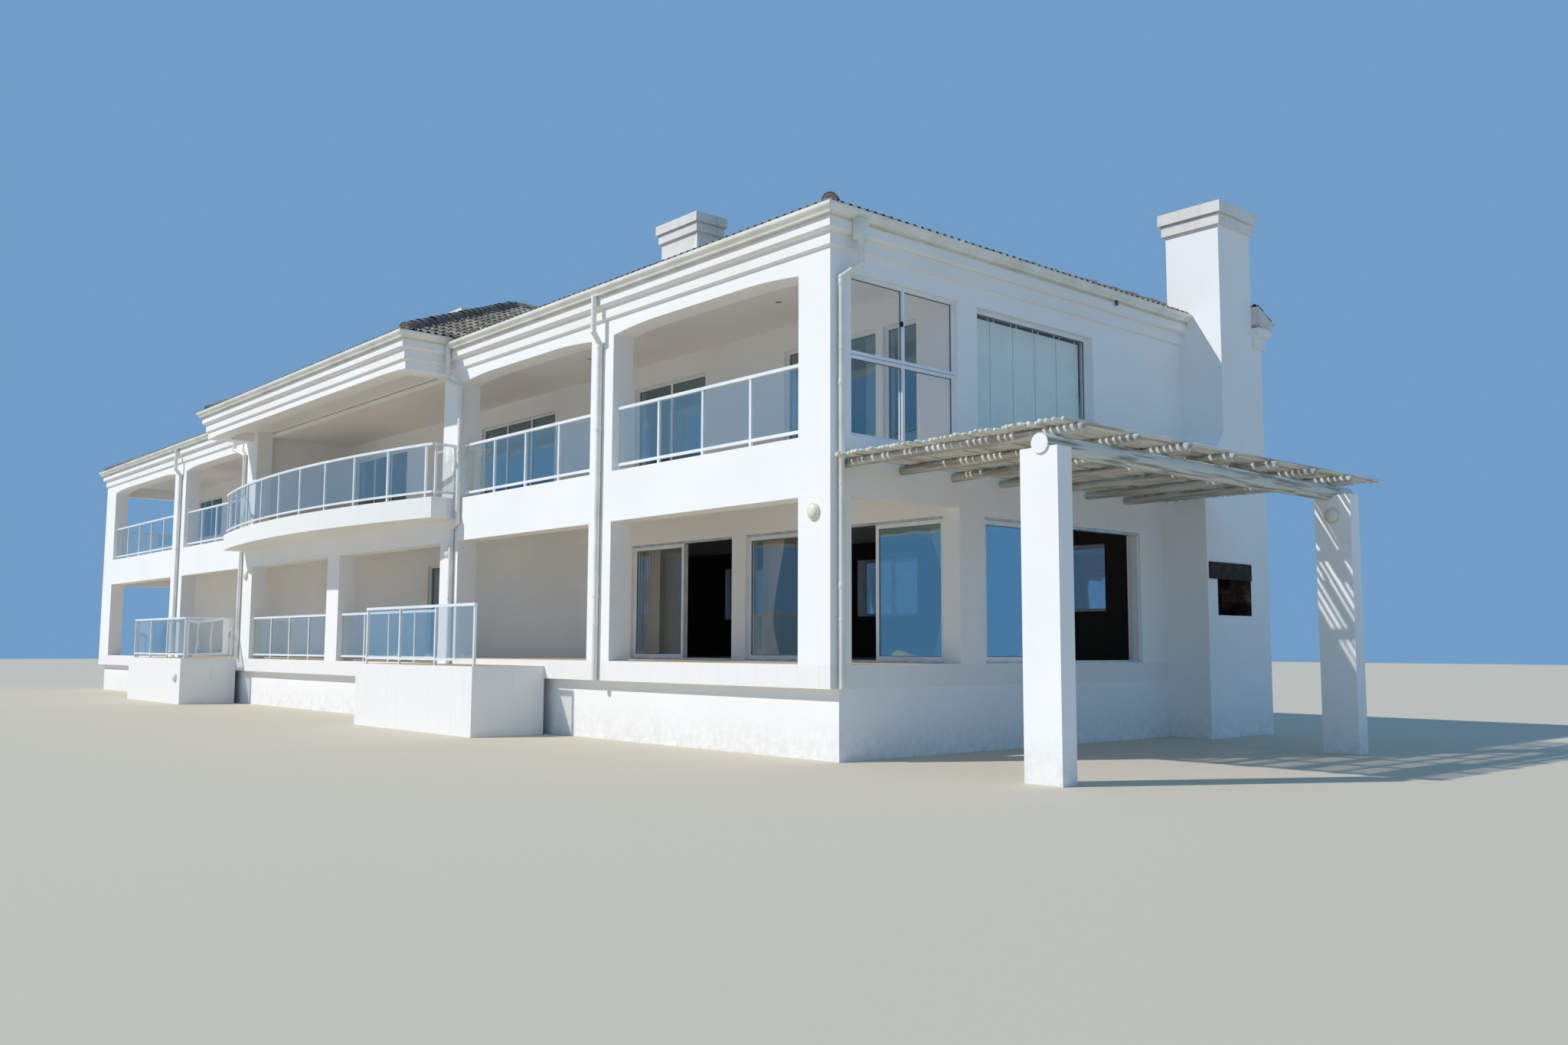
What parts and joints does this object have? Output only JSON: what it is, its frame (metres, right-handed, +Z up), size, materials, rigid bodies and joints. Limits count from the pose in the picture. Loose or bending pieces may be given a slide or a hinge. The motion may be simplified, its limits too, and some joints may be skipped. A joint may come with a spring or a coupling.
{
  "type": "beach house",
  "caption": "Long two-storey seaside house with verandas behind piers, a bowed centre balcony, hipped tile roof, glass balustrades, sliding doors, chimneys and a pole pergola.",
  "frame": {"origin": "middle of the footprint box at the foot of the plinth", "axes": "X along the long front, with the pergola end at +X, Y from the front to the rear, Z up"},
  "size_m": [38.055, 11.105, 10.15],
  "materials": {
    "whitewashed_wall": "matt painted plaster",
    "floor_tile": "matt tile",
    "moulding": "matt painted plaster",
    "roof_tile": "satin painted tile",
    "gutter_pvc": "satin",
    "dark_steel": "matt",
    "panel_frame": "satin",
    "pergola_wood": "limewashed",
    "white_aluminium": "powder coated",
    "glass": "clear",
    "light_glass": "opal"
  },
  "bodies": {
    "house": {"plinth_long": "whitewashed_wall", "plinth_ends": "whitewashed_wall", "floor_rooms": "floor_tile", "veranda_floors": "floor_tile", "terraces": "whitewashed_wall", "ground_piers": "whitewashed_wall", "upper_piers": "whitewashed_wall", "floor_beams": "whitewashed_wall", "centre_floor_beam": "whitewashed_wall", "end_beams": "whitewashed_wall", "upper_slab": "whitewashed_wall", "balcony_slab": "whitewashed_wall", "ground_front_wall": "whitewashed_wall", "door_piers": "whitewashed_wall", "door_lintels": "whitewashed_wall", "upper_front_wall": "whitewashed_wall", "side_wall_right": "whitewashed_wall", "side_wall_left": "whitewashed_wall", "rear_wall": "whitewashed_wall", "veranda_divider": "whitewashed_wall", "upper_beams": "whitewashed_wall", "centre_beam": "whitewashed_wall", "ceiling": "whitewashed_wall", "cornice_wings": "moulding", "cornice_sides": "moulding", "cornice_centre": "moulding", "cornice_rear": "moulding", "roof_front": "roof_tile", "roof_ends": "roof_tile", "roof_rear": "roof_tile", "roof_centre_front": "roof_tile", "roof_centre_sides": "roof_tile", "gutters": "gutter_pvc", "rain_pipes": "gutter_pvc", "side_chimney": "whitewashed_wall", "fireplace": "whitewashed_wall", "fireplace_hood": "dark_steel", "ridge_chimneys": "whitewashed_wall", "solar_panels": "panel_frame", "pergola_posts": "whitewashed_wall", "pergola_log": "pergola_wood", "pergola_poles": "pergola_wood", "pergola_laths": "pergola_wood", "upper_balustrades": "white_aluminium", "balcony_balustrade": "white_aluminium", "ground_balustrades": "white_aluminium", "balustrade_glass": "glass", "window_frames": "white_aluminium", "window_glass": "glass", "door_tracks": "white_aluminium", "door_jambs": "white_aluminium", "fixed_leaves": "white_aluminium", "wall_lights": "light_glass"},
    "terrace_door": {"terrace_door_leaf": "white_aluminium", "terrace_door_glass": "glass"},
    "lounge_door": {"lounge_door_leaf": "white_aluminium", "lounge_door_glass": "glass"},
    "side_door": {"side_door_leaf": "white_aluminium", "side_door_glass": "glass"}
  },
  "joints": [
    {"name": "terrace_slide", "type": "slide", "parent": "house", "child": "terrace_door", "axis": [1, 0, 0], "range_m": [0, 1.44]},
    {"name": "lounge_slide", "type": "slide", "parent": "house", "child": "lounge_door", "axis": [1, 0, 0], "range_m": [0, 1.345]},
    {"name": "side_slide", "type": "slide", "parent": "house", "child": "side_door", "axis": [0, 1, 0], "range_m": [0, 1.795]}
  ]
}
